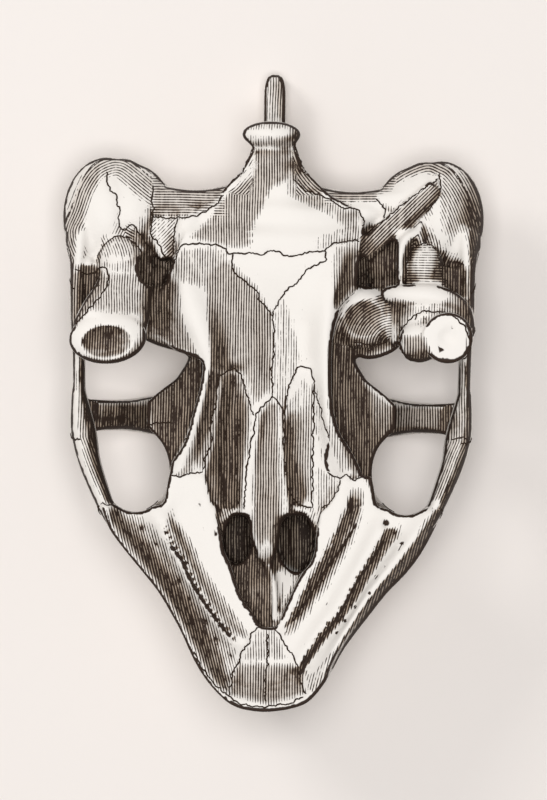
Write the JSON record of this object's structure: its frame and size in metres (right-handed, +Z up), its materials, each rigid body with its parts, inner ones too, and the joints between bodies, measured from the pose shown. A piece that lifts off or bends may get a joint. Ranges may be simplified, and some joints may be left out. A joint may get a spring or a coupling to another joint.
{
  "type": "tortoise skull",
  "caption": "Giant tortoise skull without lower jaw, lying on its roof with the palate up: beaked snout, eye and temple openings, jaw joint cups, neck knob and crest blade.",
  "frame": {"origin": "middle of the bounding box's foot, on the surface that the skull's roof rests on", "axes": "+Z up towards the palate, +Y towards the back of the skull and the crest's tip, +X the right side of the picture"},
  "size_m": [0.1057, 0.1592, 0.0565],
  "materials": {
    "bone": null
  },
  "bodies": {
    "root": {"cranium": "bone"}
  },
  "joints": []
}
